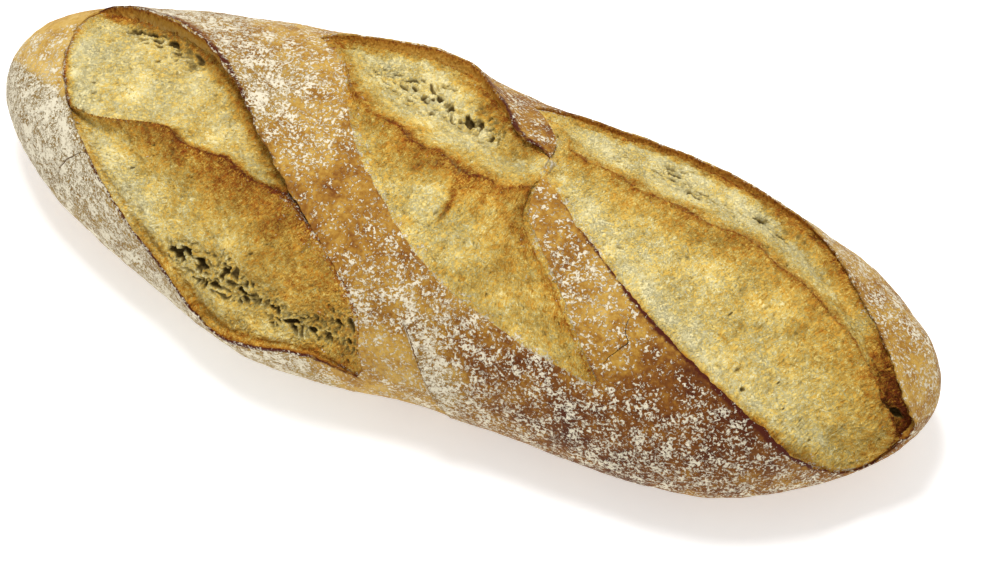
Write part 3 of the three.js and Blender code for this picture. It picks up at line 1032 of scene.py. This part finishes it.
def flourOn(finish, place, flour):
    # where flour lies, and how well it covers: specks in clouds, scraped through by winding strokes
    cloud = finish.noise(place, 5, 4, 0.65)
    thick = finish.noise(place, 1.05, 2, 0.62, 0.4) + (cloud - 0.5) * 0.45 + (flour - 0.5) * 0.4
    winding = finish.noise(place, 1.3, 1, 0.5, 1.2)
    strokes = finish.step((winding - 0.5).maths("ABSOLUTE"), 0.07, 0.025) * finish.step(cloud, 0.64, 0.44)
    dusted = finish.step(thick, 0.54, 0.575) * (1 - strokes * 0.95)
    return dusted, dusted * (finish.step(thick, 0.54, 0.7) * 0.25 + 0.72)


def makeCrustFinish():
    finish = Finish("floured crust")
    place = finish.place()
    flour, bake, scorch, wall = (finish.attribute(k) for k in ("flour", "bake", "scorch", "wall"))
    mottle = finish.noise(place, 9, 3, 0.6)
    fine = finish.noise(place, 1.5, 4, 0.65)
    baked = finish.ramp(bake + (mottle - 0.5) * 0.95 + (fine - 0.5) * 0.7, crustFinish["baked"])
    baked = finish.mixed(finish.step(flour, 0.5, 0.95) * (1 - bake) * 0.9, baked, crustFinish["dusty"])
    baked = finish.mixed(finish.step(scorch + (fine - 0.5) * 0.5, 0.25, 0.6), baked, crustFinish["scorched"])
    torn = finish.step(wall, 0.3, 0.7)
    thread = finish.noise(finish.stretched(place, (1, 1, 0.35)), 0.8, 3, 0.6)
    face = finish.ramp(wall * 0.12 + (thread - 0.5) * 0.8, crustFinish["torn"])
    dusted, cover = flourOn(finish, place, flour - scorch * 0.4)
    colour = finish.mixed(torn, baked, face)
    colour = finish.mixed(cover * (1 - torn), colour, crustFinish["flour"])
    dusted = dusted * (1 - torn)
    bare, floured = crustFinish["roughness"]
    height = dusted * 0.3 + fine * 0.6 + thread * torn * 1.2
    finish.feed(finish.shader, {"Base Color": colour, "Roughness": dusted * (floured - bare) + bare,
                                "Normal": finish.bumped(height), "Specular IOR Level": 0.14})
    return finish.material


def makeCrumbFinish():
    finish = Finish("torn crumb")
    place = finish.place()
    sheet = finish.node("UVMap", {"uv_map": "grain"}, {})
    brown, hollow, flour = (finish.attribute(k) for k in ("brown", "hollow", "flour"))
    blotch = finish.noise(place, 3.4, 3, 0.6)
    thread = finish.noise(finish.stretched(sheet, (1, 0.3, 1)), 0.55, 3, 0.65, 0.6)
    curl = finish.noise(place, 1.9, 2, 0.5, 1.6)
    fibre = finish.step((curl - 0.5).maths("ABSOLUTE"), 0.07, 0)
    pore = finish.noise(place, 0.9, 2, 0.5, 0.3)
    # thin fibres are paler, partly their own tone and partly a painted highlight on their raised tops
    shade = brown + (blotch - 0.5) * 0.65 + (thread - 0.5) * 0.75 - fibre * 0.32 + 0.09
    colour = finish.ramp(shade, crumbFinish["baked"])
    # painted shade in the hollows, darker where they are deepest
    colour = finish.mixed(finish.step(hollow, 0.12, 0.95) * 0.85, colour, crumbFinish["hollow"])
    colour = finish.mixed(finish.step(hollow, 0.75, 1.7) * 0.8, colour, crumbFinish["deep"])
    # painted shade in the small pores, where the bump sinks them
    colour = finish.mixed(finish.step(pore, 0.66, 0.72) * 0.35, colour, crumbFinish["pore"])
    dusted, cover = flourOn(finish, place, flour)
    colour = finish.mixed(cover, colour, crustFinish["flour"])
    rougher = (finish.noise(place, 11, 2) - 0.2) * 1.7
    height = (thread * 1.2 + fibre * 0.65 + curl * 0.8) * rougher + blotch * 0.3 + dusted * 0.2
    height = height - finish.step(pore, 0.62, 0.72) * 0.4
    finish.feed(finish.shader, {"Base Color": colour, "Roughness": crumbFinish["roughness"],
                                "Normal": finish.bumped(height), "Specular IOR Level": 0.15})
    return finish.material


cameraPlace = {"azimuth": 24.8, "elevation": 58, "distance": 1400, "target": (20.4, -4, 31.5), "lens": 149.1}

studio = {
    "floorSize": 6,
    "floor": tint(246, 246, 246),
    "glow": 0.42,  # lightens the shadow on the floor
    "world": 0.58,
    "key": ((-0.14, 0.1, 1.35), 0.35, 13.5),  # place, size, power
}


def makeCamera():
    azimuth, elevation = (math.radians(cameraPlace[k]) for k in ("azimuth", "elevation"))
    level = math.cos(elevation)
    back = (math.sin(azimuth) * level, -math.cos(azimuth) * level, math.sin(elevation))
    deselectAll()
    place = [(t + cameraPlace["distance"] * b) * mm for t, b in zip(cameraPlace["target"], back)]
    bpy.ops.object.camera_add(location=place, rotation=(math.pi / 2 - elevation, 0, azimuth))
    camera = bpy.context.object
    camera.data.lens = cameraPlace["lens"]
    camera.data.clip_start = 0.05
    bpy.context.scene.camera = camera


def makeLight(place, size, power):
    deselectAll()
    bpy.ops.object.light_add(type="AREA", location=place)
    light = bpy.context.object
    light.data.size = size
    light.data.energy = power
    light.rotation_euler = (-light.location).to_track_quat("-Z", "Y").to_euler()


def makeStage():
    floor = newPrimitive("floor", bpy.ops.mesh.primitive_plane_add, size=studio["floorSize"])
    finish = Finish("white floor")
    white = studio["floor"]
    finish.feed(finish.shader, {"Base Color": white, "Roughness": 0.9, "Emission Color": white,
                                "Emission Strength": studio["glow"]})
    floor.data.materials.append(finish.material)
    world = bpy.data.worlds.new("studio")
    bpy.context.scene.world = world
    world.use_nodes = True
    sky = world.node_tree.nodes["Background"]
    sky.inputs["Color"].default_value = (1, 1, 1, 1)
    sky.inputs["Strength"].default_value = studio["world"]
    makeLight(*studio["key"])
    bpy.context.scene.view_settings.view_transform = "Standard"


makeCamera()
makeStage()
print("country loaf: camera, light and floor set")

finishes = {"crust": makeCrustFinish(), "crumb": makeCrumbFinish()}
for piece in (crust, *crumbs.values()):
    kind = "crust" if piece is crust else "crumb"
    piece.data.materials.clear()
    piece.data.materials.append(finishes[kind])
    pick(piece)
    bpy.ops.object.shade_smooth_by_angle(angle=math.radians(60))
    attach(piece, "root")
    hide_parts("loaf")
print("country loaf: finishes laid on")
